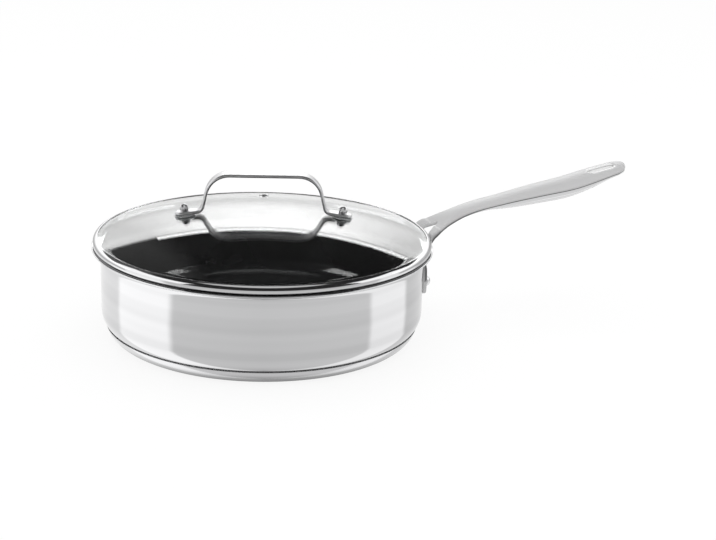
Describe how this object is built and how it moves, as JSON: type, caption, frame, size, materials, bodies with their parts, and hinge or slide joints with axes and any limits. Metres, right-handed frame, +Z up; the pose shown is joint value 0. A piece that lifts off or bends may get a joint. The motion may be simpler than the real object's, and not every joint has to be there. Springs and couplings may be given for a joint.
{
  "type": "saute pan with lid",
  "caption": "Straight-sided stainless saute pan with non-stick lining, thick base, riveted forked long handle with hanging slot, and a lift-off domed glass lid with strap handle.",
  "frame": {"origin": "centre of the underside of the base, on the surface the pan stands on", "axes": "+Z up along the pan's axis, +X along the long handle, so the handle's middle plane is XZ"},
  "size_m": [0.4495, 0.27, 0.1303],
  "materials": {
    "wall_steel": "polished stainless steel with a faint drawn grain round the wall",
    "lining": "dark grey satin non-stick coating",
    "core_aluminium": "plain, sealed inside the base",
    "base_steel": "polished stainless steel with a turned grain underneath",
    "grip_steel": "satin stainless steel, brushed along the handle",
    "belly_steel": "polished stainless steel",
    "rivet_steel": "polished",
    "lid_glass": "clear toughened glass",
    "band_steel": "polished stainless steel",
    "eyelet_steel": "polished",
    "strap_steel": "polished stainless steel",
    "nut_steel": "polished",
    "clear_silicone": "translucent clear silicone",
    "washer_steel": "polished",
    "screw_steel": "polished"
  },
  "bodies": {
    "pan": {"pan_shell": "wall_steel", "nonstick_lining": "lining", "heat_core": "core_aluminium", "base_cap": "base_steel", "handle_fork": "grip_steel", "handle_belly": "belly_steel", "handle_rivets": "rivet_steel"},
    "lid": {"lid_glass": "lid_glass", "lid_band": "band_steel", "vent_eyelet": "eyelet_steel", "lid_handle": "strap_steel", "lid_cap_nuts": "nut_steel", "lid_upper_gaskets": "clear_silicone", "lid_lower_gaskets": "clear_silicone", "lid_washers": "washer_steel", "lid_screws": "screw_steel"}
  },
  "joints": [
    {"name": "lid_lift", "type": "slide", "parent": "pan", "child": "lid", "axis": [0, 0, 1], "range_m": [0, 0.08]}
  ]
}
